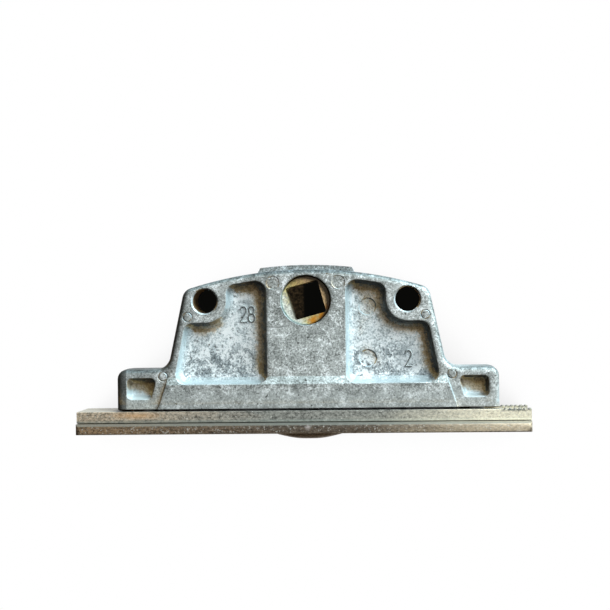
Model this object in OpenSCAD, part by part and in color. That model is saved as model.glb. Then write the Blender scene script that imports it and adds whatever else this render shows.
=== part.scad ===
// Espagnolette gear unit: a die-cast gear case on a drive rod and a faceplate.
// Millimetres. X runs along the bar, Y through the case (front is -Y), Z points away from the faceplate.
// The origin is on the spindle axis, at the middle of the case's thickness.

/* [Bar] */
// Distance from the spindle axis to the faceplate's outer face
backset = 28; // [25:0.5:35]
// Length of bar modelled, both ways together
bar_length = 96.2; // [90:0.1:160]
// How far the middle of that length lies left of the spindle
bar_shift = 1; // [0:0.1:3]
// Width of the faceplate
faceplate_w = 16; // [15:0.5:22]
// Thickness of the faceplate
faceplate_t = 2.2; // [1.8:0.1:2.6]
// Corner radius of the faceplate's ends
faceplate_corner = 1.2; // [0.6:0.1:3]
// Rounding of the faceplate's outer long edges
faceplate_edge = 0.3; // [0.1:0.05:0.6]
// Rounding of the faceplate's long edges on the rod's side
faceplate_shoulder = 1; // [0.2:0.05:1.2]
// Width of the drive rod
rod_w = 12; // [11.5:0.1:14]
// Thickness of the drive rod
rod_t = 2.4; // [2:0.1:2.6]
// Rounding of the drive rod's long edges
rod_edge = 0.12; // [0.06:0.02:0.4]
// Clearance between the drive rod and the faceplate
rod_face_gap = 0.12; // [0.1:0.02:0.3]
// Clearance between the drive rod and the case
rod_case_gap = 0.5; // [0.35:0.05:0.8]
// Depth of the coupling serrations in the rod's end
serration_depth = 0.3; // [0.2:0.05:0.5]
// Pitch of the coupling serrations
serration_pitch = 1; // [0.8:0.1:1.6]
// Number of coupling serrations
serration_count = 6; // [4:1:8]

/* [Faceplate bump] */
// Length of the pressed bump at the faceplate
bump_l = 20; // [18:0.5:30]
// Length of the bump's flat crest
bump_crest_l = 7; // [4:0.5:10]
// Width of the pressed bump
bump_w = 9; // [6:0.5:11]
// Height of the pressed bump
bump_h = 1.6; // [1:0.1:2.2]

/* [Case] */
// Thickness of the case over its plain faces
case_t = 10.8; // [10:0.1:12]
// Rise of the lower pad over the plain face
pad_rise = 0.6; // [0.3:0.05:0.9]
// Height of the crown over the spindle axis
crown_h = 6.5; // [6.2:0.1:9]
// Radius of the crown
crown_r = 84; // [70:1:120]
// Reach of the shoulders beyond the handle screws
shoulder_reach = 4.5; // [4.3:0.1:6]
// Corner radius of the shoulders
shoulder_r = 2.5; // [1.5:0.1:3]
// Lean of the case's sides from upright
side_lean = 12.2; // [8:0.1:15]
// Overall length of the case over its lugs
lug_span = 81; // [80:0.5:88]
// Height of the lugs
lug_h = 8.4; // [8:0.1:10]
// Fillet between a side and its lug
lug_fillet = 3.2; // [2:0.1:4]
// Corner radius of a lug
lug_corner = 2; // [1:0.1:3]
// Fillet round the front and rear edges
edge_fillet = 1.1; // [0.6:0.1:1.4]
// Draft of the outer walls
wall_draft = 1.3; // [0.5:0.1:3]
// Height of the small feet under the lug ends
foot_h = 0.25; // [0.1:0.05:0.3]
// Length of the small feet under the lug ends
foot_l = 1.5; // [1:0.1:3]

/* [Case pockets] */
// Depth of the main pockets below the plain face
pocket_depth = 3; // [2:0.1:3.1]
// Width of the plain band between the main pockets
band_w = 16.8; // [15:0.2:20]
// Draft of the pocket walls
pocket_draft = 10; // [3:0.5:12]
// Fillet round the pocket floors
pocket_fillet = 1.8; // [0.8:0.1:2]
// Rounding of the pockets' mouths
pocket_lip = 0.15; // [0.1:0.05:0.3]
// Wall between the crown and a pocket, at the band
pocket_top_wall = 1.9; // [1.6:0.1:3]
// Depth of the pockets in the lugs
lug_pocket_depth = 2.7; // [1.5:0.1:2.9]
// Height of the pockets in the lugs
lug_pocket_h = 4.5; // [4:0.1:5]
// Length of the pockets in the lugs
lug_pocket_l = 6.4; // [5:0.1:6.6]
// Fillet round the floors of the pockets in the lugs
lug_pocket_fillet = 0.9; // [0.4:0.1:1.2]
// Depth of the ejector marks beside the follower
ejector_depth = 0.14; // [0.05:0.01:0.3]
// Diameter of the ejector marks beside the follower
ejector_mark = 2.95; // [2:0.05:3.2]
// Diameter of the two insert marks on the front pocket's floor
insert_mark = 3.85; // [3:0.05:4.5]
// Depth of the two insert marks
insert_depth = 0.28; // [0.1:0.02:0.35]

/* [Handle fixing] */
// Distance between the two handle screws
screw_spacing = 43; // [42:0.5:46]
// Bore for a handle screw
screw_bore = 5.2; // [4.8:0.1:5.6]
// Chamfer round a handle screw bore
screw_chamfer = 0.3; // [0.1:0.05:0.5]
// Outer diameter of a handle screw boss
screw_boss = 9.2; // [8.4:0.1:9.8]

/* [Follower and gears] */
// Nominal spindle square
spindle = 7; // [6:0.5:7]
// Clearance of the spindle in its socket, over both sides
spindle_clearance = 0.05; // [0.05:0.05:0.2]
// Corner radius of the socket
socket_corner = 0.5; // [0.2:0.1:0.8]
// Diameter of the follower's journals
journal = 10.5; // [10.4:0.1:11]
// Chamfer round the journals' bores
journal_chamfer = 0.15; // [0.1:0.05:0.4]
// Running clearance round each shaft, on the radius
running = 0.05; // [0.02:0.01:0.09]
// Recess of the follower's ends below the plain face
follower_recess = 1.2; // [0.6:0.1:2]
// How far the socket is turned at rest
rest_turn = 15; // [0:1:45]
// Thickness of the gears
gear_t = 2.6; // [2:0.1:2.6]
// Clearance on each side of the gears
gear_side_gap = 0.1; // [0.05:0.05:0.15]
// Outer diameter of the ring round the follower
ring = 13; // [12.6:0.1:13.2]
// Diameter of the idler's pin
idler_pin_d = 3.2; // [2.5:0.1:4]
// Seat of the idler's pin in each shell
idler_pin_seat = 2; // [1:0.1:2.5]

/* [Fasteners] */
// Distance between the two case screws
case_screw_spacing = 70; // [69:0.2:71]
// Diameter of the case screws
case_screw = 3.5; // [3:0.1:4]
// Head diameter of the case screws
case_screw_head = 6.8; // [6:0.1:7.4]
// Reach of the case screws into the lugs
case_screw_reach = 6.3; // [5:0.1:7]
// Outer diameter of the spacer sleeves
spacer = 5.6; // [5.2:0.1:6]
// Diameter of the shell rivets
rivet = 1.9; // [1.6:0.1:2.2]
// Clearance of fixed pieces in their holes, on the radius
fixed_fit = 0.03; // [0.02:0.01:0.05]

/* [Hidden] */
$fn = 64;
far = 200;
skin = 0.01;

// Heights of the layers, counted from the spindle axis
face_top = faceplate_t - backset;
rod_bottom = face_top + rod_face_gap;
rod_top = rod_bottom + rod_t;
case_bottom = rod_top + rod_case_gap;
lug_top = case_bottom + lug_h;
bar_end = bar_length / 2 - bar_shift;

// Gear train: a sector on the follower, an idler below it and a rack cut in the rod
sector_teeth = 16;
idler_teeth = 9;
rack_depth = -(rod_top + rod_bottom) / 2;
sector_r = rack_depth * sector_teeth / (sector_teeth + 2 * idler_teeth);
idler_r = rack_depth * idler_teeth / (sector_teeth + 2 * idler_teeth);
idler_z = -(sector_r + idler_r);
tooth_pitch = 2 * PI * sector_r / sector_teeth;
sector_tooth = 0.465 * tooth_pitch;
idler_tooth = 0.445 * tooth_pitch;
rack_window = 0.622 * tooth_pitch;
sector_tip = 0.277 * tooth_pitch;
idler_tip = 0.288 * tooth_pitch;
tooth_root = 0.385 * tooth_pitch;
pressure = 20;
flank_steps = 6;
root_steps = 3;
handle_swing = 90;
down = -90;
sector_rest = down - handle_swing / 2 + rest_turn;
sector_steps = [-2 : 2];
rest_lead = (sector_rest - down + 360 / sector_teeth) * -sector_teeth / idler_teeth;
rack_phase = idler_r * rest_lead * PI / 180;
travel = sector_r * handle_swing * PI / 180;
travel_right = sector_r * rest_turn * PI / 180;
travel_left = travel - travel_right;

// Case
half_t = case_t / 2;
cavity = gear_t / 2 + gear_side_gap;
cavity_r = sector_r + sector_tip + 0.3;
idler_room = idler_r + idler_tip + 0.3;
ring_room = ring / 2 + 0.25;
crown_half_angle = 16.5;
crown_steps = 22;
crown_apex = crown_h + crown_r * (1 / cos(crown_half_angle) - 1);
screw_x = screw_spacing / 2;
shoulder_x = screw_x + shoulder_reach;
shoulder_z = crown_apex - shoulder_x * tan(crown_half_angle);
side_foot_x = shoulder_x + (shoulder_z - lug_top) * tan(side_lean);
lug_x = lug_span / 2;
crown_pad_rise = 1;
crown_pad_half = 9.4;
crown_pad_foot = 1.1;
crown_pad_t = 6;
pad_edge = case_bottom + 5.1;
pad_bevel = 1.6;
pad_bevel_side = 0.35;
pad_ease = [[0.7, 0.9], [1.8, 0.83]];
pad_foot_rise = 0.8 * pad_rise;
pad_top_x = side_foot_x;
pad_slant = 2.25;
pocket_bottom = pad_edge + 0.1;
boss_r = screw_boss / 2;
case_screw_x = case_screw_spacing / 2;
ejector_place = [6.95, 3.75];
insert_places = [[13, -1.5], [13, -12.5]];
lug_pocket_x = lug_x - 2.2;
lug_pocket_low = case_bottom + 2.05;
lug_pocket_slant = 1.3;
lug_pocket_corner = 1;
lug_pocket_mouth = 0.4;
rivet_places = [[shoulder_x - 0.8, -3.3], [shoulder_x + 4.6, -15.9]];
rivets = [for (side = [-1, 1]) for (p = rivet_places) [side * p.x, p.y]];

// Fasteners
head_r = case_screw_head / 2;
screw_r = case_screw / 2;
countersink = head_r - screw_r;
head_rim = 0.2;
point_l = 0.8;
drive_l = 3.8;
drive_w = 0.8;
drive_depth = 1.1;
spacer_r = spacer / 2;
slot_play = 0.4;
rivet_edge = 0.15;

// Directions and corners of a closed outline whose corners are [x, z, radius, steps], run anticlockwise
function unit(v) = v / norm(v);
function spot(c) = [c.x, c.y];
function turned(v, a) = [v.x * cos(a) - v.y * sin(a), v.x * sin(a) + v.y * cos(a)];
function heading(c, i) = unit(spot(c[(i + 1) % len(c)]) - spot(c[(i + len(c)) % len(c)]));
function bend(a, b) = atan2(a.x * b.y - a.y * b.x, a * b);

// The same outline moved inwards by d, with its round corners kept concentric
function inset(c, d) = [for (i = [0 : len(c) - 1])
    let (a = heading(c, i + len(c) - 1), b = heading(c, i), turn = bend(a, b),
        na = turned(a, 90), nb = turned(b, 90), p = spot(c[i]) + (na + nb) * d / (1 + na * nb),
        r = max(0.02, c[i][2] - sign(turn) * d))
    [p.x, p.y, r, c[i][3]]];

// The points of an outline with its corners rounded
function rounded(c) = [for (i = [0 : len(c) - 1])
    let (a = heading(c, i + len(c) - 1), b = heading(c, i), turn = bend(a, b), r = c[i][2],
        start = spot(c[i]) - a * r * abs(tan(turn / 2)),
        centre = start + turned(a, 90) * r * sign(turn))
    for (k = [0 : c[i][3]]) centre + turned(start - centre, turn * k / c[i][3])];

// A solid through outlines at rising y: levels are [y, inset], and eye is a spot that sees the whole outline
module loft(corners, levels, eye) {
    rings = [for (l = levels) rounded(inset(corners, l[1]))];
    n = len(rings[0]);
    m = len(levels);
    points = concat([for (j = [0 : m - 1]) for (p = rings[j]) [p.x, levels[j][0], p.y]],
        [for (j = [0, m - 1]) [eye.x, levels[j][0], eye.y]]);
    sides = [for (j = [0 : m - 2]) for (i = [0 : n - 1]) let (next = (i + 1) % n)
        each [[j * n + i, j * n + next, (j + 1) * n + next],
            [j * n + i, (j + 1) * n + next, (j + 1) * n + i]]];
    front = [for (i = [0 : n - 1]) [m * n, (i + 1) % n, i]];
    back = [for (i = [0 : n - 1]) [m * n + 1, (m - 1) * n + i, (m - 1) * n + (i + 1) % n]];
    polyhedron(points, concat(front, back, sides), convexity = 6);
}

// A flat outline given in x and z, made solid between two depths
module slab(y0, y1) {
    translate([0, y1, 0]) rotate([90, 0, 0]) linear_extrude(y1 - y0) children();
}

// A rod along y, and a rod along z
module cross_rod(r, y0, y1) {
    translate([0, y1, 0]) rotate([90, 0, 0]) cylinder(r = r, h = y1 - y0);
}
module upright(r, z0, z1) {
    translate([0, 0, z0]) cylinder(r = r, h = z1 - z0);
}

// Outline of the case, run anticlockwise from the lower right; its foot runs on below and is cut flat
case_outline = let (below = case_bottom - 4) [
    [lug_x, below, 0.1, 1],
    [lug_x, lug_top, lug_corner, 5],
    [side_foot_x, lug_top, lug_fillet, 7],
    [shoulder_x, shoulder_z, shoulder_r, 6],
    [0, crown_apex, crown_r, crown_steps],
    [-shoulder_x, shoulder_z, shoulder_r, 6],
    [-side_foot_x, lug_top, lug_fillet, 7],
    [-lug_x, lug_top, lug_corner, 5],
    [-lug_x, below, 0.1, 1]];

// Outline of the right-hand main pocket; its third corner wraps round the handle screw's boss
pocket_outline = let (side = shoulder_x - 1.7, drop = tan(side_lean - 0.7)) [
    [band_w / 2, pocket_bottom, 2, 5],
    [side + (shoulder_z - pocket_bottom) * drop, pocket_bottom, 2.2, 5],
    [side + (shoulder_z + boss_r) * drop, -boss_r, 2, 5],
    [screw_x - boss_r, -boss_r, boss_r, 10],
    [screw_x - boss_r, crown_h - pocket_top_wall - 1.3, 2, 5],
    [band_w / 2, crown_h - pocket_top_wall, 2.4, 5]];

lug_pocket_outline = [for (p = [[lug_pocket_slant - lug_pocket_l, 0], [0, 0],
        [0, lug_pocket_h], [-lug_pocket_l, lug_pocket_h]])
    [lug_pocket_x + p.x, lug_pocket_low + p.y, lug_pocket_corner, 3]];

// Levels of a pocket cut from in front of the face, round its lip and down to its filleted floor
function pocket_levels(depth, fillet, mouth) = let (wall = depth - fillet) concat(
    [[-half_t - mouth, -pocket_lip]],
    [for (k = [0 : 3]) let (a = 90 * k / 3)
        [-half_t + pocket_lip * (1 - cos(a)), -pocket_lip * (1 - sin(a))]],
    [for (k = [0 : 4]) let (a = 90 * k / 4)
        [-half_t + wall + fillet * sin(a),
            (wall - pocket_lip) * tan(pocket_draft) + fillet * (1 - cos(a))]]);

module outer_form() {
    fillet_levels = [for (k = [4 : -1 : 0]) let (a = 90 * k / 4)
        [-half_t + edge_fillet - edge_fillet * sin(a), edge_fillet * (1 - cos(a))]];
    intersection() {
        loft(case_outline, concat(fillet_levels, [[0, -(half_t - edge_fillet) * tan(wall_draft)]]),
            [0, case_bottom]);
        translate([-far / 2, -far, case_bottom]) cube([far, far * 2, far]);
    }
}

// The raised strip below the pockets: its long upper edge slopes gently, its slanted ends sharply
module lower_pad() {
    intersection() {
        rotate([90, 0, 90]) translate([0, 0, -far / 2]) linear_extrude(far) polygon([
            [-half_t + 1, pad_edge + pad_bevel], [-half_t, pad_edge + pad_bevel],
            [-half_t - pad_rise, pad_edge],
            each [for (e = pad_ease) [-half_t - pad_rise * e[1], pad_edge - e[0]]],
            [-half_t - pad_foot_rise, case_bottom], [-half_t + 1, case_bottom]]);
        hull() {
            for (level = [[-half_t + 1, 0], [-half_t, 0], [-half_t - pad_rise, pad_bevel_side]])
                slab(level[0] - skin, level[0]) pad_plan(level[1]);
        }
    }
}

module pad_plan(back_off) {
    top = pad_edge + pad_bevel;
    low_x = pad_top_x + pad_slant;
    polygon([[-pad_top_x + back_off, top], [-low_x + back_off, case_bottom],
        [low_x - back_off, case_bottom], [pad_top_x - back_off, top]]);
}

// The low rise on the crown that gives the follower's ring its room
module crown_pad() {
    slab(-crown_pad_t / 2, 0) intersection() {
        translate([0, crown_h - crown_r]) circle(r = crown_r + crown_pad_rise, $fn = 256);
        hull() for (side = [-1, 1]) {
            translate([side * (crown_pad_half + crown_pad_foot), crown_h - crown_pad_rise]) circle(r = skin);
            translate([side * crown_pad_half, crown_h + crown_pad_rise]) circle(r = skin);
            translate([side * crown_pad_half, 0]) circle(r = skin);
            translate([0, crown_h + crown_pad_rise * 2]) circle(r = skin);
        }
    }
}

module lug_feet() {
    for (side = [-1, 1])
        translate([side * (lug_x - foot_l / 2 - 0.1), -half_t / 2 + 0.5, case_bottom])
            cube([foot_l, half_t - 1, foot_h * 2], center = true);
}

module pockets() {
    for (side = [0, 1]) mirror([side, 0, 0]) {
        loft(pocket_outline, pocket_levels(pocket_depth, pocket_fillet, pad_rise + 0.5),
            [(band_w / 2 + screw_x - boss_r) / 2, -boss_r * 1.6]);
        loft(lug_pocket_outline, pocket_levels(lug_pocket_depth, lug_pocket_fillet, lug_pocket_mouth),
            [lug_pocket_x - lug_pocket_l / 2, lug_pocket_low + lug_pocket_h / 2]);
    }
}

// Room inside for the ring, the swinging sector and the idler, open below onto the rod
module gear_room() {
    slab(-cavity, skin) {
        intersection() {
            circle(r = cavity_r);
            translate([-far / 2, -far]) square([far, far + 2.2]);
        }
        circle(r = ring_room);
        translate([0, idler_z]) circle(r = idler_room);
    }
}

module shell_holes() {
    cross_rod(journal / 2 + running, -far, skin);
    translate([0, -half_t - skin, 0]) rotate([-90, 0, 0])
        cylinder(r1 = journal / 2 + running + journal_chamfer, r2 = journal / 2 + running,
            h = journal_chamfer + skin);
    for (side = [-1, 1]) {
        translate([side * screw_x, 0, 0]) cross_rod(screw_bore / 2, -far, skin);
        translate([side * screw_x, -half_t - skin, 0]) rotate([-90, 0, 0])
            cylinder(r1 = screw_bore / 2 + screw_chamfer, r2 = screw_bore / 2, h = screw_chamfer + skin);
        translate([side * case_screw_x, 0, 0])
            upright(screw_r + fixed_fit, case_bottom - 1, case_bottom + case_screw_reach + 0.4);
    }
    for (p = rivets) translate([p.x, 0, p.y]) {
        cross_rod(rivet / 2 + fixed_fit, -far, skin);
        translate([0, -half_t - skin, 0]) rotate([-90, 0, 0])
            cylinder(r1 = rivet / 2 + rivet_edge, r2 = rivet / 2, h = rivet_edge + skin);
    }
    translate([0, 0, idler_z]) cross_rod(idler_pin_d / 2 + fixed_fit, -cavity - idler_pin_seat - 0.05, skin);
}

// A shallow round mark with a sloped rim, sunk into a face at the given depth
module round_mark(d, depth, face) {
    translate([0, face - skin, 0]) rotate([-90, 0, 0])
        cylinder(r1 = d / 2, r2 = d / 2 - depth, h = depth + skin);
}

// Two where the ejectors push beside the follower
module ejector_marks() {
    for (side = [-1, 1]) translate([side * ejector_place.x, 0, ejector_place.y])
        round_mark(ejector_mark, ejector_depth, -half_t);
}

// and two on the floor of the right-hand pocket, where the die holds its inserts
module insert_marks() {
    for (p = insert_places) translate([p.x, 0, p.y])
        round_mark(insert_mark, insert_depth, -half_t + pocket_depth);
}

// One half of the case, in front of the parting plane
module half_case() {
    difference() {
        union() {
            outer_form();
            lower_pad();
            crown_pad();
            lug_feet();
        }
        pockets();
        ejector_marks();
        gear_room();
        shell_holes();
    }
}

module front_shell() {
    color("silver") difference() {
        half_case();
        insert_marks();
    }
}

module rear_shell() {
    color("darkgray") mirror([0, 1, 0]) half_case();
}

// The follower: a sleeve with a square socket, turning in both shells and keyed to the sector
key_w = 1.8;
key_h = 0.7;
hub_chamfer = 0.25;

module keys(play) {
    for (a = [0, 180]) rotate([0, -a - sector_rest, 0])
        slab(-gear_t / 2 - play, gear_t / 2 + play)
            translate([0, -key_w / 2 - play]) square([journal / 2 + key_h + play, key_w + play * 2]);
}

module socket_plan() {
    side = spindle + spindle_clearance;
    rotate(rest_turn) offset(r = socket_corner) square(side - socket_corner * 2, center = true);
}

module follower_hub() {
    reach = half_t - follower_recess;
    color("goldenrod") difference() {
        union() {
            cross_rod(journal / 2, -reach + hub_chamfer, reach - hub_chamfer);
            for (side = [-1, 1]) translate([0, side * (reach - hub_chamfer), 0]) rotate([-90 * side, 0, 0])
                cylinder(r1 = journal / 2, r2 = journal / 2 - hub_chamfer, h = hub_chamfer);
            keys(0);
        }
        slab(-far / 2, far / 2) socket_plan();
    }
}

// Involute teeth: the half angle of a tooth at a given radius
function involute(a) = tan(a) * 180 / PI - a;
function half_tooth(rho, r, thick) = let (base = r * cos(pressure))
    thick / 2 / r * 180 / PI + involute(pressure) - involute(acos(min(1, base / max(rho, base))));
function tooth_edge(r, thick, tip, centre, side) = [for (k = [0 : flank_steps])
    let (rho = r - tooth_root + (tip + tooth_root) * (side < 0 ? k : flank_steps - k) / flank_steps,
        a = centre + side * half_tooth(rho, r, thick)) rho * [cos(a), sin(a)]];

// The outline of a run of teeth, with the root circle's arc between each pair
function teeth_run(r, thick, tip, centres, step) = [for (c = centres)
    let (root = r - tooth_root, half = half_tooth(root, r, thick), gap = step - 2 * half)
    each concat(tooth_edge(r, thick, tip, c, -1), tooth_edge(r, thick, tip, c, 1),
        [for (k = [1 : root_steps]) let (a = c + half + gap * k / (root_steps + 1))
            root * [cos(a), sin(a)]])];

module toothed_sector() {
    step = 360 / sector_teeth;
    centres = [for (k = sector_steps) sector_rest + k * step];
    run = teeth_run(sector_r, sector_tooth, sector_tip, centres, step);
    last = len(run) - 1 - root_steps;
    color("lightsteelblue") difference() {
        slab(-gear_t / 2, gear_t / 2) {
            circle(r = ring / 2);
            polygon(concat([[0, 0]], [for (i = [0 : last]) run[i]]));
        }
        cross_rod(journal / 2 + fixed_fit, -far / 2, far / 2);
        keys(fixed_fit);
    }
}

module idler_gear() {
    step = 360 / idler_teeth;
    centres = [for (k = [1 : idler_teeth]) rest_lead + down + k * step];
    color("lightgray") translate([0, 0, idler_z]) difference() {
        slab(-gear_t / 2, gear_t / 2)
            polygon(teeth_run(idler_r, idler_tooth, idler_tip, centres, step));
        cross_rod(idler_pin_d / 2 + running, -far / 2, far / 2);
    }
}

module idler_pin() {
    reach = cavity + idler_pin_seat;
    color("dimgray") translate([0, 0, idler_z]) cross_rod(idler_pin_d / 2, -reach, reach);
}

// The rod: a row of windows that the idler's teeth run in, and slots that pass the case screws
module drive_rod() {
    slot = spacer_r + slot_play;
    windows = [ceil((-travel_right - idler_room - rack_phase) / tooth_pitch + 0.5)
        : floor((travel_left + idler_room - rack_phase) / tooth_pitch - 0.2)];
    color("tan") difference() {
        bar(rod_w, rod_t, rod_bottom, rod_edge, rod_edge);
        for (k = windows)
            translate([rack_phase + k * tooth_pitch - rack_window / 2, -gear_t / 2 - 0.3, rod_bottom - 1])
                cube([rack_window, gear_t + 0.6, rod_t + 2]);
        hole_run(-case_screw_x - travel_right, -case_screw_x + travel_left, slot);
        hole_run(case_screw_x - travel_right, bar_length, slot);
        for (k = [0 : serration_count - 1])
            translate([bar_end - (k + 0.7) * serration_pitch, 0, rod_top]) rotate([0, 45, 0])
                cube([serration_depth * sqrt(2), far, serration_depth * sqrt(2)], center = true);
    }
}

// A rolled bar with rounded long edges, standing on the given height
module bar(w, t, z, low_edge, top_edge) {
    translate([bar_end - bar_length, 0, z]) rotate([90, 0, 90]) linear_extrude(bar_length)
        polygon(rounded([[-w / 2, 0, low_edge, 4], [w / 2, 0, low_edge, 4],
            [w / 2, t, top_edge, 4], [-w / 2, t, top_edge, 4]]));
}

module hole_run(x0, x1, r) {
    translate([0, 0, rod_bottom - 1]) {
        translate([x0, 0, 0]) cylinder(r = r, h = rod_t + 2);
        translate([x1, 0, 0]) cylinder(r = r, h = rod_t + 2);
        translate([x0, -r, 0]) cube([x1 - x0, r * 2, rod_t + 2]);
    }
}

// The faceplate, with its countersunk holes and the pressed bump that clears the idler
module bump_form(shrink, top) {
    levels = [[0, bump_l - shrink * 4, bump_w - shrink * 2],
        [0.7, (bump_l + bump_crest_l * 1.4) / 2 - shrink * 2, bump_w - bump_h - shrink],
        [1, bump_crest_l - shrink, bump_w - bump_h * 2 - shrink]];
    hull() {
        for (l = levels) translate([0, 0, top - l[0] * bump_h - (l[0] > 0 ? skin : 0)])
            linear_extrude(skin) square([l[1], l[2]], center = true);
    }
}

module faceplate() {
    r = faceplate_corner;
    color("burlywood") difference() {
        union() {
            intersection() {
                bar(faceplate_w, faceplate_t, -backset, faceplate_edge, faceplate_shoulder);
                translate([0, 0, -backset - 1]) linear_extrude(faceplate_t + 2) polygon(rounded([
                    for (p = [[-1, -1], [1, -1], [1, 1], [-1, 1]])
                        [p.x * bar_length / 2 - bar_shift, p.y * faceplate_w / 2, r, 8]]));
            }
            bump_form(0, -backset + skin);
        }
        bump_form(1, face_top + skin);
        for (side = [-1, 1]) translate([side * case_screw_x, 0, 0]) {
            upright(screw_r + 0.1, -far, 0);
            translate([0, 0, -backset - skin]) cylinder(r = head_r + 0.1, h = head_rim + skin);
            translate([0, 0, -backset + head_rim])
                cylinder(r1 = head_r + 0.1, r2 = screw_r + 0.1, h = countersink);
        }
    }
}

module case_screw(side) {
    shank = backset + case_bottom + case_screw_reach - point_l;
    color("gray") translate([side * case_screw_x, 0, -backset]) difference() {
        union() {
            cylinder(r = head_r, h = head_rim);
            translate([0, 0, head_rim]) cylinder(r1 = head_r, r2 = screw_r, h = countersink);
            cylinder(r = screw_r, h = shank);
            translate([0, 0, shank]) cylinder(r1 = screw_r, r2 = screw_r - point_l, h = point_l);
        }
        for (a = [0, 90]) rotate(a) cube([drive_l, drive_w, drive_depth * 2], center = true);
    }
}

module spacer_sleeve(side) {
    color("slategray") translate([side * case_screw_x, 0, 0]) difference() {
        upright(spacer_r, face_top, case_bottom);
        upright(screw_r + 0.1, face_top - 1, case_bottom + 1);
    }
}

module shell_rivet(p) {
    color("gainsboro") translate([p.x, 0, p.y]) {
        cross_rod(rivet / 2, -half_t + rivet_edge, half_t - rivet_edge);
        for (side = [-1, 1]) translate([0, side * (half_t - rivet_edge), 0]) rotate([-90 * side, 0, 0])
            cylinder(r1 = rivet / 2, r2 = rivet / 2 - rivet_edge, h = rivet_edge);
    }
}

module case_screw_left() case_screw(-1);
module case_screw_right() case_screw(1);
module spacer_left() spacer_sleeve(-1);
module spacer_right() spacer_sleeve(1);
module rivet_upper_left() shell_rivet(rivets[0]);
module rivet_lower_left() shell_rivet(rivets[1]);
module rivet_upper_right() shell_rivet(rivets[2]);
module rivet_lower_right() shell_rivet(rivets[3]);

front_shell();
rear_shell();
follower_hub();
toothed_sector();
idler_gear();
idler_pin();
drive_rod();
faceplate();
case_screw_left();
case_screw_right();
spacer_left();
spacer_right();
rivet_upper_left();
rivet_upper_right();
rivet_lower_left();
rivet_lower_right();
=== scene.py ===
"""The look of the espagnolette's gear unit: materials, cast details, light and camera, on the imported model.

Places and lengths are in millimetres until they meet Blender, which takes metres.
"""
from functools import reduce
import math

import bmesh
import bpy
from mathutils import Matrix, Vector

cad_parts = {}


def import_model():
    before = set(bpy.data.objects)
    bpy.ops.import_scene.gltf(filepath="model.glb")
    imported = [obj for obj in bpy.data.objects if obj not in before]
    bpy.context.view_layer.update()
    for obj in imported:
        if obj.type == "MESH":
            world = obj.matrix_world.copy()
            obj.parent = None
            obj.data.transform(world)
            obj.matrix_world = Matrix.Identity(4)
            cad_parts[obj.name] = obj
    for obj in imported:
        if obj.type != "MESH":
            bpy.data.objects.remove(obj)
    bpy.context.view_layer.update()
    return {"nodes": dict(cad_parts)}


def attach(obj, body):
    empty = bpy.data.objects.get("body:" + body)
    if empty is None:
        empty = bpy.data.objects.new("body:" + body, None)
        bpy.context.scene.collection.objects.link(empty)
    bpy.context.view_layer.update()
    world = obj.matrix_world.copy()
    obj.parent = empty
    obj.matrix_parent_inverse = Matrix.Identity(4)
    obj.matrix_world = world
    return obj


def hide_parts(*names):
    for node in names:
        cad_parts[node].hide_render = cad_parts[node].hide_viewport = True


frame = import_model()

MM = 0.001
NODES = frame["nodes"]

SCREW_X = 21.5  # from the spindle's axis to the axis of either handle screw
FIGURES_SHOWN = (("28", (-12.5, -2.85), 3.3), ("2", (21.7, -12.6), 3.4))  # text, middle and height


def linear(r, g, b):
    """A display colour, 0 to 255, as the scene colour that a shader takes."""
    shares = [c / 255 for c in (r, g, b)]
    return tuple(((s + 0.055) / 1.055) ** 2.4 if s > 0.04045 else s / 12.92 for s in shares) + (1.0,)


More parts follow.
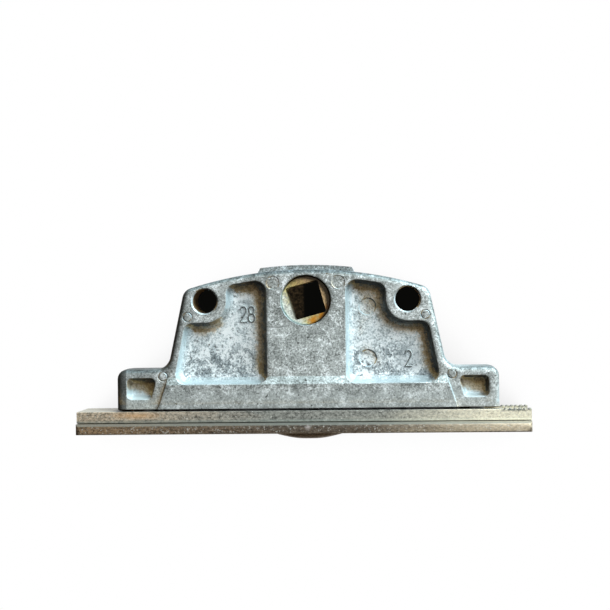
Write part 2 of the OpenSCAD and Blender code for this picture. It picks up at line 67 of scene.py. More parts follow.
class Nodes:
    """Short calls for building one node tree. A value is a node's output or a plain number or colour."""

    def __init__(self, tree):
        self.tree = tree
        tree.nodes.clear()

    def add(self, kind, **settings):
        node = self.tree.nodes.new(kind)
        for name, value in settings.items():
            setattr(node, name, value)
        return node

    def link(self, a, b):
        self.tree.links.new(a, b)

    def put(self, socket, value):
        if hasattr(value, "is_linked"):
            self.link(value, socket)
        else:
            socket.default_value = value

    def coords(self, scale=(1, 1, 1)):
        """The point's place on the part in metres, each axis times its scale."""
        mapping = self.add("ShaderNodeMapping")
        mapping.inputs["Scale"].default_value = scale
        self.link(self.add("ShaderNodeTexCoord").outputs["Object"], mapping.inputs["Vector"])
        return mapping.outputs[0]

    def split(self, vector):
        """A vector's X, Y and Z."""
        node = self.add("ShaderNodeSeparateXYZ")
        self.link(vector, node.inputs[0])
        return tuple(node.outputs)

    def place(self):
        """The point's X, Y and Z in millimetres."""
        return self.split(self.coords((1 / MM, 1 / MM, 1 / MM)))

    def distance(self, centre, scale=(1, 1, 1)):
        """Millimetres from a centre, each axis times its scale."""
        node = self.add("ShaderNodeVectorMath", operation="DISTANCE")
        self.link(self.coords([s / MM for s in scale]), node.inputs[0])
        node.inputs[1].default_value = [c * s for c, s in zip(centre, scale)]
        return node.outputs["Value"]

    def noise(self, scale, detail=3.0, rough=0.55, distortion=0.0):
        """Clouds, so many to a metre. Three scales, for X, Y and Z, draw them out."""
        node = self.add("ShaderNodeTexNoise")
        node.inputs["Scale"].default_value = 1.0
        node.inputs["Detail"].default_value = detail
        node.inputs["Roughness"].default_value = rough
        node.inputs["Distortion"].default_value = distortion
        scales = scale if isinstance(scale, tuple) else (scale, scale, scale)
        self.link(self.coords(scales), node.inputs["Vector"])
        return node.outputs[0]

    def ramp(self, value, stops):
        """A colour ramp over 0 to 1. A stop's colour may be a plain grey."""
        node = self.add("ShaderNodeValToRGB")
        while len(node.color_ramp.elements) < len(stops):
            node.color_ramp.elements.new(0.5)
        for element, (place, colour) in zip(node.color_ramp.elements, stops):
            element.position = place
            element.color = colour if isinstance(colour, tuple) else (colour, colour, colour, 1)
        self.link(value, node.inputs[0])
        return node.outputs[0]

    def band(self, length, stops):
        """A ramp whose stops lie along a length in millimetres, up or down.

        Cycles keeps a ramp as 256 samples, so the stops are spread over the whole of it.
        """
        start, end = stops[0][0], stops[-1][0]
        share = self.product(self.math("SUBTRACT", length, start), 1 / (end - start))
        return self.ramp(share, [((at - start) / (end - start), colour) for at, colour in stops])

    def mix(self, amount, a, b, blend="MIX"):
        node = self.add("ShaderNodeMix", data_type="RGBA", blend_type=blend)
        for socket, value in ((node.inputs[0], amount), (node.inputs[6], a), (node.inputs[7], b)):
            self.put(socket, value)
        return node.outputs[2]

    def tinted(self, colour, tint):
        return self.mix(1.0, colour, tint, "MULTIPLY")

    def math(self, operation, a, b=0.0, clamp=False):
        node = self.add("ShaderNodeMath", operation=operation, use_clamp=clamp)
        for socket, value in zip(node.inputs, (a, b)):
            self.put(socket, value)
        return node.outputs[0]

    def total(self, *values):
        return reduce(lambda a, b: self.math("ADD", a, b), values)

    def product(self, *values):
        return reduce(lambda a, b: self.math("MULTIPLY", a, b), values)

    def bump(self, height, depth, strength, base=None):
        """Relief of a depth in millimetres, on top of a base normal where there is one."""
        node = self.add("ShaderNodeBump")
        node.inputs["Distance"].default_value = depth * MM
        node.inputs["Strength"].default_value = strength
        self.link(height, node.inputs["Height"])
        if base is not None:
            self.link(base, node.inputs["Normal"])
        return node.outputs[0]

    def metal(self, colour, roughness, normal, metallic=1.0):
        """Ends a material in a metal surface."""
        shader = self.add("ShaderNodeBsdfPrincipled")
        shader.inputs["Metallic"].default_value = metallic
        self.link(colour, shader.inputs["Base Color"])
        self.link(roughness, shader.inputs["Roughness"])
        self.link(normal, shader.inputs["Normal"])
        out = self.add("ShaderNodeOutputMaterial")
        self.link(shader.outputs[0], out.inputs["Surface"])


def new_material(name):
    material = bpy.data.materials.new(name)
    material.use_nodes = True
    return material, Nodes(material.node_tree)


def direction(n):
    """The way that the surface faces."""
    return n.add("ShaderNodeTexCoord").outputs["Normal"]


def eased(n, radius):
    """The way that the surface faces, as if its edges were rounded off to a radius in millimetres."""
    soft = n.add("ShaderNodeBevel", samples=8)
    soft.inputs["Radius"].default_value = radius * MM
    return soft.outputs["Normal"]


def facing(n, x, z, source=None):
    """How far the surface turns towards a direction in the plane of the case's face, from 0 to 1."""
    part_x, _, part_z = n.split(direction(n) if source is None else source)
    return n.math("ADD", n.product(part_x, x), n.product(part_z, z), clamp=True)


def recess(n, distance, low, high):
    """1 deep in a recess and 0 on an open face, from what stands within a distance in millimetres."""
    corner = n.add("ShaderNodeAmbientOcclusion", samples=8)
    corner.inputs["Distance"].default_value = distance * MM
    return n.ramp(corner.outputs["AO"], [(low, 1.0), (high, 0.0)])


def cast_zinc():
    """Die-cast zinc: satin grey with a fine crystal speckle that gathers in pale clouds on the pocket floors.

    The pockets' upper-facing slopes get a pale painted highlight, and their walls that face down get painted
    shade, warm brown to black.
    """
    material, n = new_material("die_cast_zinc")
    z = n.place()[2]
    inside = n.product(recess(n, 6.0, 0.86, 0.97), n.band(z, [(-21.65, 1.0), (-21.9, 0.0)]))
    colour, grain = speckled_zinc(n, floors(n, inside))
    # Painted highlight on the pockets' upward slopes, and painted shade on the case's outer upward edges
    colour = n.mix(inside, outer_slopes(n, colour), painted_slope_highlight(n, colour))
    # A mask for the painted shade on walls that face down and left, less where they also face up and right
    rounded = eased(n, 2.8)
    near_wall = facing(n, -0.8, -0.8, rounded)
    down_wall_mask = n.math("SUBTRACT", near_wall, n.product(facing(n, 0.8, 0.8, rounded), 0.6))
    colour = lug_pockets(n, colour, grain, down_wall_mask)
    crown = n.band(z, [(5.4, 1.0), (5.8, (0.76, 0.78, 0.8, 1))])
    colour = n.tinted(colour, crown)
    colour = n.mix(dark_edges(n), colour, linear(52, 52, 47))
    # Painted shade on the outer sides that face left, outside the pockets
    left_side_shade = n.ramp(facing(n, -0.9, -0.2, eased(n, 1.3)), [(0.05, 0.0), (0.35, 0.6), (0.75, 0.9)])
    colour = n.mix(n.product(left_side_shade, n.math("SUBTRACT", 1.0, inside)), colour, linear(58, 57, 52))
    # Painted shade, warm brown to black, on the pocket walls that face down and left
    colour = painted_wall_shade(n, colour, grain, inside, n.math("MAXIMUM", facing(n, -0.8, -0.8), near_wall))
    # A brown painted reflection on the screw bores' walls
    colour = n.mix(screw_bores(n), colour, linear(172, 142, 100))
    rough = n.ramp(n.noise(900), [(0.3, 0.42), (0.7, 0.56)])
    n.metal(colour, rough, n.bump(n.noise(500, 2.0), 0.02, 0.5, n.bump(grain, 0.02, 0.6)), 0.45)
    return material


def floors(n, inside):
    """1 on the floors of the pockets, 0 on the faces that stand higher."""
    _, y, z = n.place()
    flat = n.ramp(n.math("ABSOLUTE", n.split(direction(n))[1]), [(0.8, 0.0), (0.9, 1.0)])
    below_crown = n.band(z, [(5.2, 1.0), (5.6, 0.0)])
    deep = n.band(n.math("ABSOLUTE", y), [(3.625, 0.0), (2.625, 1.0)])
    return n.product(n.math("MAXIMUM", inside, flat), below_crown, deep)


def speckled_zinc(n, sunk):
    """The casting's grain, its pale crystals and its pits, and the grain's own value."""
    clouds = n.noise(330, 4.0, 0.6, 0.5)
    grain = n.noise(2600, 3.0, 0.65, 0.4)
    calm = calm_places(n)
    level = n.total(n.product(grain, 0.7), n.product(clouds, 0.3))
    level = n.total(n.product(n.math("SUBTRACT", level, 0.5), calm), 0.495)
    face = face_tone(n, level)
    colour = n.mix(sunk, face, floor_tone(n, level))
    shine = n.total(n.product(clouds, 0.9), n.product(sunk, 0.12))
    crystals = n.mix(sunk, n.noise(2300, 2.0, 0.7, 0.8), n.noise(1500, 3.0, 0.7, 0.8))
    spots = n.total(n.product(crystals, 0.75), n.product(shine, 0.5))
    white = n.product(n.ramp(spots, [(0.64, 0.0), (0.74, 0.9)]), calm)
    colour = n.mix(white, colour, linear(250, 254, 254))
    pits = n.ramp(n.noise(1500, 2.0, 0.5), [(0.26, linear(96, 92, 86)), (0.35, 1.0)])
    return n.tinted(colour, pits), grain


def calm_places(n):
    """How strong the speckle is: weaker on the case's foot and round the raised figures."""
    calm = n.band(n.place()[2], [(-18.5, 1.0), (-20.0, 0.6)])
    for _, (x, z), _ in FIGURES_SHOWN:
        calm = n.product(calm, n.band(n.distance((x, 0, z), (1, 0, 1)), [(2.0, 0.5), (3.6, 1.0)]))
    return calm


def face_tone(n, level):
    """The standing faces' grey, duller round the follower."""
    x, _, z = n.place()
    face = n.ramp(level, [(0.37, linear(104, 107, 104)), (0.5, linear(173, 177, 174)),
                          (0.62, linear(224, 228, 226))])
    middle = n.band(n.math("ABSOLUTE", x), [(14.0, 1.0), (17.0, 0.0)])
    high = n.band(z, [(-7.2, 0.0), (-4.4, 1.0)])
    return n.mix(n.product(middle, high), face, n.tinted(face, (0.74, 0.74, 0.73, 1)))


def floor_tone(n, level):
    """The pocket floors' paler grey, which changes from top to bottom."""
    z = n.place()[2]
    drift = n.band(z, [(-3.6, 0.5), (-5.6, 0.95), (-9.2, 0.95), (-11.2, 0.15), (-16.0, 0.1)])
    level = n.total(level, n.product(n.math("SUBTRACT", drift, 0.5), 0.13))
    tone = n.ramp(level, [(0.37, linear(114, 122, 124)), (0.5, linear(186, 196, 198)),
                          (0.61, linear(244, 250, 250))])
    return n.tinted(tone, n.band(z, [(-3.0, 1.08), (-14.4, (0.9, 0.9, 0.91, 1))]))


def painted_slope_highlight(n, colour):
    """Painted highlight: the pockets' slopes that face up and to the right are pale, a little greyer where
    they face that way most.
    """
    upward = facing(n, 0.75, 0.75)
    slope_highlight = n.mix(n.ramp(upward, [(0.12, 0.0), (0.3, 0.25), (0.55, 0.7)]), colour, linear(198, 219, 225))
    return n.tinted(slope_highlight, n.ramp(upward, [(0.62, 1.0), (1.0, (0.74, 0.8, 0.82, 1))]))


def outer_slopes(n, colour):
    """Painted shade: the case's outer edges, darker where they face up."""
    upward = facing(n, 0.25, 0.8)
    up_facing_shade = n.ramp(upward, [(0.1, 1.0), (0.26, (0.8, 0.87, 0.88, 1)), (0.5, (0.52, 0.6, 0.63, 1)),
                           (0.8, (0.48, 0.55, 0.58, 1))])
    return n.tinted(colour, up_facing_shade)


SHADE_MIDDLES = (-36.5, 33.9)  # X of the middles of the lugs' brown painted shade
SHADE_SLANT = 0.35  # how far the painted shade's lower edge falls for each millimetre to the right


def lug_pockets(n, colour, grain, down_wall_mask):
    """The lugs' small pockets: pale, with brown painted shade in their upper half and on their walls that
    face down and left.

    The left lug gets painted shade, darker at its top than at its foot.
    """
    x, _, z = n.place()
    lug = n.band(n.math("ABSOLUTE", x), [(29.75, 0.0), (31.25, 1.0)])
    sump = n.product(lug, recess(n, 6.0, 0.6, 0.9))
    colour = n.mix(n.product(sump, 0.6), colour, linear(226, 240, 244))
    walls = n.ramp(n.total(down_wall_mask, n.product(n.noise(900, 4.0, 0.7), 0.5)), [(0.12, 0.0), (0.28, 0.95)])
    left, right = SHADE_MIDDLES
    middle = n.total(n.product(n.math("SIGN", x), (right - left) / 2), (right + left) / 2)
    slant = n.product(n.math("SUBTRACT", x, middle), SHADE_SLANT)
    height = n.total(z, slant, n.product(n.noise(700, 4.0, 0.7), 2.4))
    # Brown painted shade on the walls and over each pocket's upper half
    pocket_shade = n.math("MAXIMUM", walls, n.band(height, [(-18.25, 0.0), (-17.25, 0.85)]))
    shade_brown = n.ramp(grain, [(0.4, linear(150, 122, 80)), (0.56, linear(204, 184, 150))])
    colour = n.mix(n.product(sump, pocket_shade), colour, shade_brown)
    # Painted shade on the left lug, darkest at its top
    left_lug_shade = n.band(z, [(-15.5, 0.72), (-18.5, 0.86), (-21.0, (1.16, 1.16, 1.15, 1))])
    left_lug = n.band(x, [(-31.0, 0.0), (-33.0, 1.0)])
    return n.mix(left_lug, colour, n.tinted(colour, left_lug_shade))


FLANK_POINT = (-26.3, 0.74)  # X and Z of a point on the case's left flank
FLANK_OUTWARD = (-0.9795, 0.2021)  # the way that it faces


def dark_edges(n):
    """Painted shade on the broad edges that turn away from the window: the left lug's side and the case's
    left flank.
    """
    x, _, z = n.place()
    lug = n.band(x, [(-39.97, 1.0), (-38.55, 0.84), (-38.39, 0.0)])
    outside = n.total(n.product(x, FLANK_OUTWARD[0]), n.product(z, FLANK_OUTWARD[1]))
    outside = n.math("SUBTRACT", outside, Vector(FLANK_POINT).dot(Vector(FLANK_OUTWARD)))
    flank = n.band(outside, [(-2.0, 0.0), (-1.4, 0.22), (-0.8, 0.42), (-0.3, 0.7), (0.0, 0.92)])
    above_lug = n.band(z, [(-13.2, 1.0), (-15.6, 0.0)])
    return n.math("MAXIMUM", n.product(lug, 0.9), n.product(flank, above_lug))


def painted_wall_shade(n, colour, grain, inside, downward):
    """Painted shade on the pockets' walls that face down and to the left: warm brown, and black where they
    are steepest.
    """
    ragged = n.total(downward, n.product(n.math("SUBTRACT", n.noise(1100, 5.0, 0.7), 0.5), 1.1))
    wall_shade_colour = n.ramp(ragged, [(0.08, linear(206, 186, 146)), (0.26, linear(186, 154, 100)),
                             (0.5, linear(154, 124, 74)), (0.64, linear(72, 62, 44)),
                             (0.76, linear(18, 18, 16))])
    wall_shade_colour = n.tinted(wall_shade_colour, n.ramp(grain, [(0.38, 0.6), (0.6, 1.0)]))
    reach = n.ramp(n.total(ragged, 0.08), [(0.04, 0.0), (0.18, 0.92)])
    wall_shade_share = n.product(inside, reach, n.ramp(downward, [(0.015, 0.0), (0.07, 1.0)]))
    return n.mix(wall_shade_share, colour, wall_shade_colour)


def screw_bores(n):
    """The walls of the two screw holes, below their pale countersinks, where a brown painted reflection goes.
    """
    x, y, z = n.place()
    across = n.math("SUBTRACT", n.math("ABSOLUTE", x), SCREW_X)
    radius = n.math("SQRT", n.total(n.product(across, across), n.product(z, z)))
    within = n.band(radius, [(2.8, 1.0), (2.85, 0.0)])
    return n.product(within, n.band(n.math("ABSOLUTE", y), [(4.8, 0.0), (4.0, 0.95)]))


def figure_zinc():
    """The raised figures: grey zinc, with painted shade where they turn down or left and a painted highlight
    where they turn up or right.
    """
    material, n = new_material("figure_zinc")
    base = n.ramp(n.noise(2600, 3.0, 0.65), [(0.36, linear(104, 108, 106)), (0.62, linear(166, 172, 170))])
    shaded = n.mix(n.ramp(facing(n, -0.75, -0.75), [(0.02, 0.0), (0.3, 0.92)]), base, linear(48, 50, 48))
    colour = n.mix(n.ramp(facing(n, 0.75, 0.75), [(0.1, 0.0), (0.5, 0.8)]), shaded, linear(228, 238, 238))
    rough = n.ramp(n.noise(900), [(0.3, 0.42), (0.7, 0.56)])
    n.metal(colour, rough, n.bump(n.noise(2600), 0.02, 0.6), 0.45)
    return material


FACE_Z = -28.0  # Z of the faceplate's outer face
BUMP_X = 0.3  # X of the pressed bump's middle


def plated_bar(name, left, middle, right, shoulder=1.0):
    """Zinc-plated rolled steel with a fine speckle and faint streaks along the bar, darker in its middle.

    The three display colours are its left end, middle and right end, their change a painted reflection, and
    shoulder sets the painted shade on its upper edge.
    """
    material, n = new_material(name)
    x, _, z = n.place()
    # The place along the bar, shifted by soft noise of up to 35 mm
    along = n.total(x, n.product(n.noise((60, 400, 400), 3.0, 0.6), 35.0))
    # Painted reflection: the bar's colour changes from end to end, palest at the right end
    base = n.band(along, [(-25.0, linear(*left)), (7.0, linear(*middle)), (29.0, linear(*middle)),
                          (59.0, linear(*right))])
    streaks = n.noise((70, 3200, 3200), 4.0, 0.65)
    speckle = n.noise((1800, 2600, 2600), 3.0, 0.7)
    tone = n.total(n.product(streaks, 0.3), n.product(speckle, 0.7))
    rough_end = n.ramp(tone, [(0.38, 0.26), (0.5, 0.88), (0.61, 1.34)])
    plain_end = n.ramp(tone, [(0.38, 0.62), (0.5, 0.96), (0.61, 1.16)])
    colour = n.tinted(base, n.mix(n.band(along, [(22.0, 0.0), (52.0, 1.0)]), rough_end, plain_end))
    # A warm painted reflection near the left end, drawn out along the bar, and small painted glints
    # everywhere
    warm = n.band(n.distance((-36.5, 0, -24.1), (0.2, 0, 1.6)), [(0.2, 0.6), (1.4, 0.0)])
    colour = n.mix(warm, colour, linear(250, 196, 138))
    glints = n.ramp(n.noise(2300, 2.0, 0.8), [(0.58, 0.0), (0.68, 1.0)])
    colour = n.mix(n.product(glints, 0.6), colour, linear(240, 238, 228))

    # The long edges: warm painted shade where they face down; where they face up, a pale painted highlight,
    # and painted shade set by the shoulder
    up = facing(n, 0.0, 1.0)
    down = n.ramp(facing(n, 0.0, -1.0), [(0.1, 0.0), (0.4, 0.9)])
    underside_shade = n.ramp(tone, [(0.4, linear(138, 124, 106)), (0.5, linear(192, 174, 150)),
                          (0.6, linear(232, 216, 192))])
    colour = n.mix(down, colour, underside_shade)
    colour = n.mix(n.ramp(up, [(0.5, 0.0), (0.7, 0.7)]), colour, n.mix(0.6, base, linear(206, 216, 208)))
    colour = n.tinted(colour, n.ramp(up, [(0.04, 1.0), (0.25, shoulder)]))
    # A pale painted reflection along the lower rim, grey to the left and palest at the right end
    low = n.band(z, [(-25.0, 0.0), (-25.2, 0.36), (-25.39, 0.55), (-25.59, 0.55), (-25.78, 0.0)])
    rim = n.band(along, [(-25.0, linear(128, 138, 134)), (27.0, linear(160, 168, 160)),
                         (59.0, linear(255, 252, 228))])
    colour = n.mix(low, colour, rim)
    # Paler over the pressed bump
    pressed = n.total(n.distance((BUMP_X, 0, -26.8), (1, 0, 1)), n.product(speckle, 2.0))
    colour = n.mix(n.band(pressed, [(0.833, 0.7), (1.667, 0.0)]), colour, linear(214, 204, 200))
    # Darker and speckled in the coupling teeth, and painted shade in corners
    right_end = n.band(x, [(40.5, 0.0), (41.5, 1.0)])
    teeth = n.product(n.band(z, [(-23.63, 0.85), (-23.83, 0.12), (-24.02, 0.0)]), right_end)
    colour = n.mix(n.product(teeth, n.ramp(speckle, [(0.4, 1.0), (0.6, 0.3)])), colour, linear(84, 92, 88))
    colour = n.mix(n.product(recess(n, 0.5, 0.35, 0.75), 0.6), colour, linear(50, 46, 38))
    # Painted shadow: the dark line under the case
    top_edge = n.band(z, [(-23.44, 1.0), (-23.63, 0.37), (-23.83, 0.0)])
    colour = n.mix(n.product(top_edge, recess(n, 2.0, 0.7, 0.97), 0.9), colour, linear(32, 32, 26))

    rough = n.ramp(streaks, [(0.3, 0.5), (0.7, 0.34)])
    n.metal(colour, rough, n.bump(speckle, 0.02, 0.5, n.bump(streaks, 0.02, 0.5)), 0.6)
    return material


# The drops of rust on the follower: middle, and share of the largest one's size
RUST_DROPS = (((1.6, -4.2, -4.5), 1.0), ((3.4, -4.2, -3.4), 0.7), ((4.6, -4.2, -1.6), 0.6))


def passivated():
    """Yellow passivated steel: pale straw on one side, mottled brown above, rust below on the right, and a
    dark painted shadow at its upper right rim.
    """
    material, n = new_material("passivated_steel")
    x, _, z = n.place()
    across = n.total(n.product(x, 0.75), n.product(z, 0.55), n.product(n.noise(700, 4.0, 0.65, 0.6), 5.0))
    base = n.band(across, [(-1.0, linear(250, 250, 236)), (0.7, linear(226, 214, 150)),
                           (2.5, linear(216, 190, 122)), (4.7, linear(228, 192, 142))])
    colour = n.tinted(base, n.ramp(n.noise(2400, 3.0, 0.7), [(0.38, 0.45), (0.58, 1.0)]))
    for centre, size in RUST_DROPS:
        near = n.total(n.product(n.distance(centre), 1 / size), n.product(n.noise(1500), 2.06))
        colour = n.mix(n.band(near, [(1.47, 0.9), (2.5, 0.0)]), colour, linear(214, 136, 16))
    # Painted shadow: a dark crescent where the case's bore shades the hub's rim
    rim = n.band(n.distance((-0.65, 0, -0.45), (1, 0, 1)), [(4.62, 0.0), (5.2, 0.9)])
    colour = n.mix(rim, colour, linear(36, 31, 23))
    rough = n.ramp(n.noise(1100), [(0.3, 0.28), (0.7, 0.5)])
    n.metal(colour, rough, n.bump(n.noise(1500), 0.04, 0.7), 0.6)
    return material


def gear_steel():
    """Plain steel with a fine mottle and thin dark oil."""
    material, n = new_material("gear_steel")
    base = n.ramp(n.noise(500, 4.0, 0.6), [(0.3, linear(108, 106, 102)), (0.7, linear(168, 167, 164))])
    colour = n.tinted(base, n.ramp(n.noise(2500, 3.0, 0.7), [(0.36, 0.7), (0.56, 1.0)]))
    rough = n.ramp(n.noise(800), [(0.3, 0.25), (0.7, 0.42)])
    n.metal(colour, rough, n.bump(n.noise(2000), 0.015, 0.5))
    return material


CAD_LOOKS = {
    "die_cast_zinc": ("front_shell", "rear_shell", "rivet_upper_left", "rivet_upper_right",
                      "rivet_lower_left", "rivet_lower_right"),
    "gear_steel": ("toothed_sector", "idler_gear", "idler_pin", "case_screw_left", "case_screw_right",
                   "spacer_left", "spacer_right"),
    "passivated_steel": ("follower_hub",),
    "rod": ("drive_rod",),
    "plate": ("faceplate",),
}


def shade(mesh, material, angle):
    """Gives a mesh its material, and shades it smoothly up to an angle in degrees between its faces."""
    mesh.materials.clear()
    mesh.materials.append(material)
    mesh.shade_smooth()
    mesh.set_sharp_from_angle(angle=math.radians(angle))


def place_object(name, data):
    obj = bpy.data.objects.new(name, data)
    bpy.context.scene.collection.objects.link(obj)
    return obj


def mesh_object(name, bm, material, body):
    """A piece of the part that rides on a body."""
    mesh = bpy.data.meshes.new(name)
    bmesh.ops.recalc_face_normals(bm, faces=bm.faces)
    bm.to_mesh(mesh)
    bm.free()
    obj = place_object(name, mesh)
    shade(mesh, material, 40)
    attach(obj, body)
    return obj


def arc(x, z, rx, rz, start, end, steps=14):
    """Points along an ellipse's arc, in degrees."""
    turns = [math.radians(start + (end - start) * k / steps) for k in range(steps + 1)]
    return [(x + rx * math.cos(t), z + rz * math.sin(t)) for t in turns]


# Strokes of the plain figures in a box 1 high, as paths of (x, z)
FIGURES = {
    "2": [arc(0.27, 0.75, 0.24, 0.25, 170, -35) + [(0.03, 0.0), (0.54, 0.0)]],
    "8": [arc(0.27, 0.76, 0.2, 0.24, 0, 360, 20), arc(0.27, 0.27, 0.25, 0.27, 0, 360, 20)],
}
FIGURE_PITCH, FIGURE_HALF, FIGURE_WIDTH = 0.53, 0.25, 0.8  # shares of the figures' height
POCKET_FLOOR_Y = -2.4
STROKE_WIDTH, STROKE_RISE = 0.38, 0.3
# A stroke's outline from side to side: share of its half width, and share of its rise
STROKE_SECTION = ((-1, -0.1), (-0.8, 0.6), (-0.35, 1.0), (0.35, 1.0), (0.8, 0.6), (1, -0.1))


def stroke(bm, path):
    """A raised line with a rounded back, laid along a path of (x, z) on a pocket's floor."""
    rows = []
    for i, p in enumerate(path):
        a, b = path[max(0, i - 1)], path[min(len(path) - 1, i + 1)]
        along = Vector((b[0] - a[0], b[1] - a[1])).normalized()
        side = Vector((-along.y, along.x)) * STROKE_WIDTH / 2
        row = []
        for across, up in STROKE_SECTION:
            spot = Vector(p) + side * across
            row.append(bm.verts.new(Vector((spot.x, POCKET_FLOOR_Y - STROKE_RISE * up, spot.y)) * MM))
        rows.append(row)
    for r, q in zip(rows, rows[1:]):
        for k in range(len(STROKE_SECTION) - 1):
            bm.faces.new((r[k], r[k + 1], q[k + 1], q[k]))
    bm.faces.new(rows[0][::-1])
    bm.faces.new(rows[-1])


def figure(text, centre, height, material):
    """Plain raised figures on a pocket's floor."""
    bm = bmesh.new()
    x, z = centre
    pitch = height * FIGURE_PITCH
    left = x - (len(text) - 1) * pitch / 2 - height * FIGURE_HALF
    for k, character in enumerate(text):
        for path in FIGURES[character]:
            start = left + k * pitch
            stroke(bm, [(start + px * height * FIGURE_WIDTH, z + (pz - 0.5) * height) for px, pz in path])
    mesh_object("figure_" + text, bm, material, "gear_case")


# The bump's rings from its foot to its crest: depth, half length and half width
BUMP_RINGS = ((0.0, 8.8, 4.6), (0.08, 8.4, 4.4), (0.25, 8.0, 4.2), (0.5, 7.4, 3.95), (0.75, 6.7, 3.65),
              (0.98, 5.8, 3.3), (1.18, 4.9, 2.9), (1.36, 4.05, 2.5), (1.49, 3.3, 2.1), (1.57, 2.6, 1.7),
              (1.6, 1.9, 1.3))
RING_POINTS = 64
RING_POWER = 2.5  # 2 would make the rings ellipses, more makes them squarer


def bump_ring(bm, depth, half_length, half_width):
    """One ring of the bump, between an ellipse and a rounded rectangle."""
    ring = []
    for k in range(RING_POINTS):
        turn = 2 * math.pi * k / RING_POINTS
        c, s = [math.copysign(abs(v) ** (2 / RING_POWER), v) for v in (math.cos(turn), math.sin(turn))]
        ring.append(bm.verts.new(Vector((BUMP_X + half_length * c, half_width * s, FACE_Z - depth)) * MM))
    return ring


def pressed_faceplate(material):
    """The faceplate as its solid has it, with the bump on its outer face shorter and softer at the foot."""
    bm = bmesh.new()
    bm.from_mesh(NODES["faceplate"].data)
    bmesh.ops.remove_doubles(bm, verts=bm.verts, dist=0.001 * MM)
    just_above = (FACE_Z + 0.002) * MM
    outer_face = [f for f in bm.faces if all(v.co.z < just_above for v in f.verts)]
    bmesh.ops.delete(bm, geom=outer_face, context="FACES")
    edges = [e for e in bm.edges if e.is_boundary]
    rings = [bump_ring(bm, *sizes) for sizes in BUMP_RINGS]
    for r, q in zip(rings, rings[1:]):
        for k in range(RING_POINTS):
            bm.faces.new((r[k - 1], r[k], q[k], q[k - 1]))
    bm.faces.new(rings[-1])
    foot = rings[0]
    edges += [bm.edges.get((foot[k - 1], foot[k])) for k in range(RING_POINTS)]
    bmesh.ops.triangle_fill(bm, use_beauty=True, edges=edges, normal=(0, 0, -1))
    piece = mesh_object("faceplate_pressed", bm, material, "gear_case")
    flat_shading = piece.modifiers.new("weighted_normals", "WEIGHTED_NORMAL")
    flat_shading.weight = 100
    flat_shading.keep_sharp = True
    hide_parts("faceplate")


def camera():
    """About 300 mm from the front face, a little right of square, with the photograph's slight roll."""
    data = bpy.data.cameras.new("camera")
    data.sensor_width = 36
    data.lens = 83.8
    data.clip_start, data.clip_end = 0.01, 10
    distance, aim = 300, Vector((-0.12, -5.4, -1.05))
    yaw, roll, level = math.radians(3.34), math.radians(0.741), math.radians(90)
    place = aim + distance * Vector((math.sin(yaw), -math.cos(yaw), 0))
    obj = place_object("camera", data)
    obj.matrix_world = (Matrix.Translation(place * MM) @ Matrix.Rotation(yaw, 4, "Z")
                        @ Matrix.Rotation(level, 4, "X") @ Matrix.Rotation(-roll, 4, "Z"))
    bpy.context.scene.camera = obj


def area_light(name, place, side, power, colour):
    """A square lamp that shines at the part's middle."""
    data = bpy.data.lights.new(name, "AREA")
    data.shape = "RECTANGLE"
    data.size, data.size_y = side * MM, side * MM
    data.energy = power
    data.color = colour
    obj = place_object(name, data)
    obj.location = Vector(place) * MM
    obj.rotation_mode = "QUATERNION"
    obj.rotation_quaternion = (Vector((0, 0, -10)) - Vector(place)).to_track_quat("-Z", "Y")


def lights():
    area_light("window", place=(345, -255, 375), side=375, power=7.0, colour=(0.88, 0.97, 1.0))
    area_light("fill", place=(120, -620, 220), side=400, power=0.8, colour=(0.95, 0.98, 1.0))


def world():
    """White behind the part, and in front of it a window, upper right, and a warm dark side, lower left."""
    scene_world = bpy.data.worlds.new("room")
    bpy.context.scene.world = scene_world
    scene_world.use_nodes = True
    n = Nodes(scene_world.node_tree)
    x, y, z = n.split(n.add("ShaderNodeTexCoord").outputs["Generated"])
    to_window = n.total(n.product(x, 0.31), n.product(z, 0.31), 0.5)
    room = n.ramp(to_window, [(0.12, (0.05, 0.034, 0.02, 1)), (0.38, (0.07, 0.05, 0.03, 1)),
                              (0.55, (0.13, 0.13, 0.12, 1)), (0.8, (0.5, 0.58, 0.62, 1))])
    behind = n.ramp(y, [(0.7, 0.0), (0.95, 1.0)])
    rays = n.add("ShaderNodeLightPath")
    shiny = n.math("MAXIMUM", rays.outputs["Is Glossy Ray"], rays.outputs["Is Transmission Ray"])
    white = n.math("MAXIMUM", rays.outputs["Is Camera Ray"], n.product(shiny, behind), clamp=True)
    sky = n.add("ShaderNodeBackground")
    sky.inputs["Strength"].default_value = 1.0
    n.link(n.mix(white, room, (1, 1, 1, 1)), sky.inputs["Color"])
    out = n.add("ShaderNodeOutputWorld")
    n.link(sky.outputs[0], out.inputs["Surface"])


def stage_plane(name, outline, material):
    """A flat sheet, square to Y and facing the camera, inside an outline."""
    bm = bmesh.new()
    bm.faces.new([bm.verts.new(Vector(corner) * MM) for corner in outline])
    mesh = bpy.data.meshes.new(name)
    bm.to_mesh(mesh)
    bm.free()
    mesh.materials.append(material)
    obj = place_object(name, mesh)
    return obj


def glow(n, colour):
    """Ends a material in a light of its own, clear where it is seen from behind."""
    light = n.add("ShaderNodeEmission")
    n.link(colour, light.inputs["Color"])
    both = n.add("ShaderNodeMixShader")
    n.link(n.add("ShaderNodeNewGeometry").outputs["Backfacing"], both.inputs[0])
    n.link(light.outputs[0], both.inputs[1])
    n.link(n.add("ShaderNodeBsdfTransparent").outputs[0], both.inputs[2])
    out = n.add("ShaderNodeOutputMaterial")
    n.link(both.outputs[0], out.inputs["Surface"])


FLOOR_HALF, FLOOR_Y = 900, 8.05  # half the floor's side, and its place just behind the part's back at 8


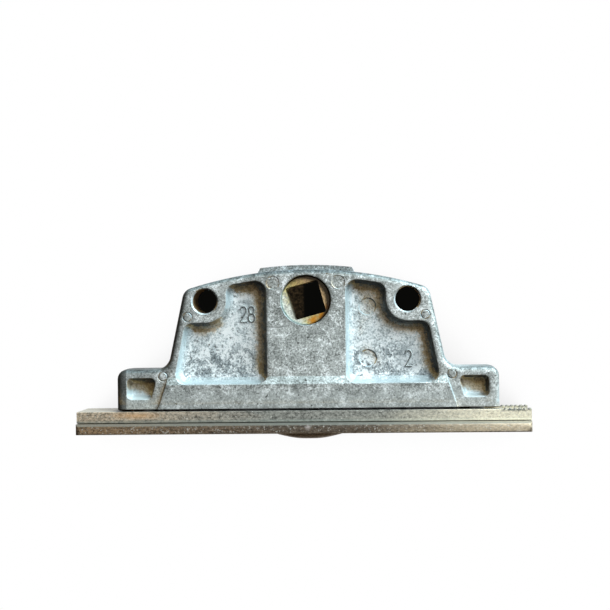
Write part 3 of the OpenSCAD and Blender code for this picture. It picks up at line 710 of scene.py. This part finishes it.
def floor():
    """The pale floor that the part lies on, on its back: a white glow, with the part's soft shadow painted in
    from ambient occlusion.
    """
    material, n = new_material("floor")
    shade_near = n.add("ShaderNodeAmbientOcclusion", samples=16)
    shade_near.inputs["Distance"].default_value = 14 * MM
    glow(n, n.ramp(shade_near.outputs["AO"], [(0.0, 0.66), (0.55, 0.975), (0.75, 1.0)]))
    corners = ((-1, -1), (1, -1), (1, 1), (-1, 1))
    obj = stage_plane("floor", [(x * FLOOR_HALF, FLOOR_Y, z * FLOOR_HALF) for x, z in corners], material)
    for flag in ("visible_diffuse", "visible_glossy", "visible_transmission", "visible_shadow"):
        setattr(obj, flag, False)


# X, Y and radius of the glowing dark discs of painted shade inside the far ends of the bores
HOLE_BACKS = ((-SCREW_X, 4.0, 2.65), (0, 4.6, 5.1), (SCREW_X, 4.0, 2.65))
DISC_POINTS = 40


def hole_backs():
    """Glowing dark discs behind the holes, painted shade for what shows through them, with a painted patch of
    light in the left part of the spindle's square.
    """
    material, n = new_material("hole_back")
    lit = n.band(n.place()[0], [(-7.0, 0.0), (-6.8, 1.0), (-1.3, 1.0), (-0.8, 0.0)])
    table_in_shade = n.ramp(n.noise(1500, 4.0, 0.7), [(0.35, (0.004, 0.003, 0.002, 1)), (0.5, (0.016, 0.012, 0.007, 1)),
                                            (0.65, (0.045, 0.03, 0.016, 1))])
    glow(n, n.mix(lit, (0.003, 0.003, 0.0025, 1), table_in_shade))
    turns = [math.tau * i / DISC_POINTS for i in range(DISC_POINTS)]
    for k, (x, y, radius) in enumerate(HOLE_BACKS):
        outline = [(x + radius * math.cos(t), y, radius * math.sin(t)) for t in turns]
        stage_plane(f"hole_back_{k}", outline, material)


def main():
    bpy.context.scene.view_settings.view_transform = "Standard"
    camera()
    world()
    lights()
    floor()
    hole_backs()
    looks = {
        "die_cast_zinc": cast_zinc(),
        "gear_steel": gear_steel(),
        "passivated_steel": passivated(),
        "rod": plated_bar("plated_rod", (216, 196, 170), (160, 160, 152), (250, 240, 214)),
        "plate": plated_bar("plated_faceplate", (158, 130, 100), (106, 93, 79), (214, 196, 168), 0.6),
    }
    for look, names in CAD_LOOKS.items():
        for name in names:
            shade(NODES[name].data, looks[look], 32)
    pressed_faceplate(looks["plate"])
    figures_look = figure_zinc()
    for text, centre, height in FIGURES_SHOWN:
        figure(text, centre, height, figures_look)


main()
